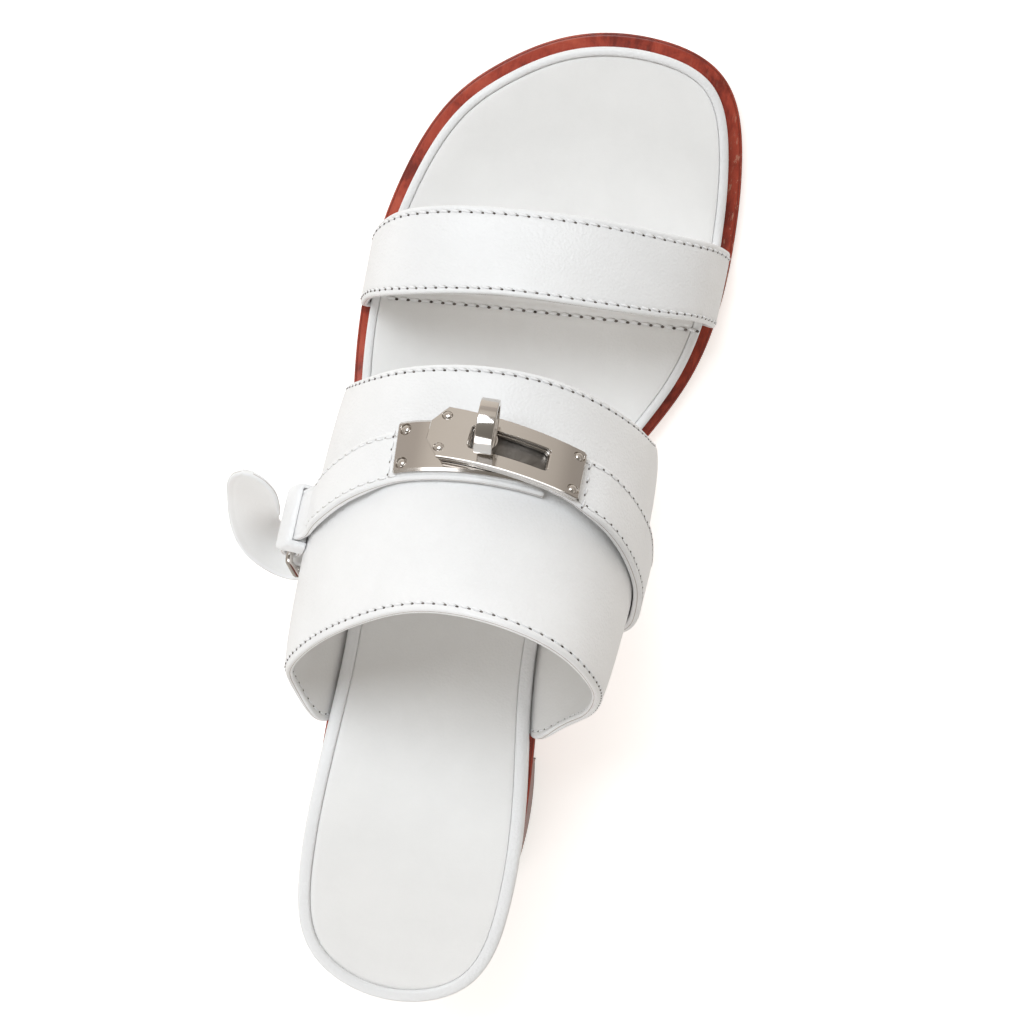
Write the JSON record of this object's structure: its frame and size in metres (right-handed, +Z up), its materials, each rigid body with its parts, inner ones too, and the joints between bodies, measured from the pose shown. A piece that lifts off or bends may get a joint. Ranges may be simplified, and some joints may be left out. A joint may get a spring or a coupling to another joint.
{
  "type": "sandal",
  "caption": "Open-toe sandal with a block heel, a front strap, a wide instep band and a buckled belt closed by a turning ring clasp.",
  "frame": {"origin": "on the floor, at the middle of the box that the whole sandal fills", "axes": "+Z up, -Y from heel to toe, +X to the lateral (outer) side of this left shoe"},
  "size_m": [0.106, 0.2364, 0.1055],
  "materials": {
    "white_leather": "smooth, satin",
    "sole_leather": "stained and waxed",
    "heel_leather": "stacked, stained and waxed",
    "nickel": "polished"
  },
  "bodies": {
    "sandal": {"outsole": "sole_leather", "heel_block": "heel_leather", "footbed": "white_leather", "insole": "white_leather", "front_strap": "white_leather", "instep_band": "white_leather", "belt_medial": "white_leather", "belt_lateral": "white_leather", "side_strap": "white_leather", "keeper": "white_leather", "side_buckle": "nickel", "clasp_plate": "nickel", "clasp_slotted_plate": "nickel", "clasp_post": "nickel", "rivet_1": "nickel", "rivet_2": "nickel", "rivet_3": "nickel", "rivet_4": "nickel", "rivet_5": "nickel", "rivet_6": "nickel"},
    "ring": {"turn_ring": "nickel"}
  },
  "joints": [
    {"name": "ring_turn", "type": "hinge", "parent": "sandal", "child": "ring", "pos_m": [-0.00713, -0.02879, 0.08585], "axis": [0.0311, -0.5633, 0.8257], "range_deg": [-90, 90]}
  ]
}
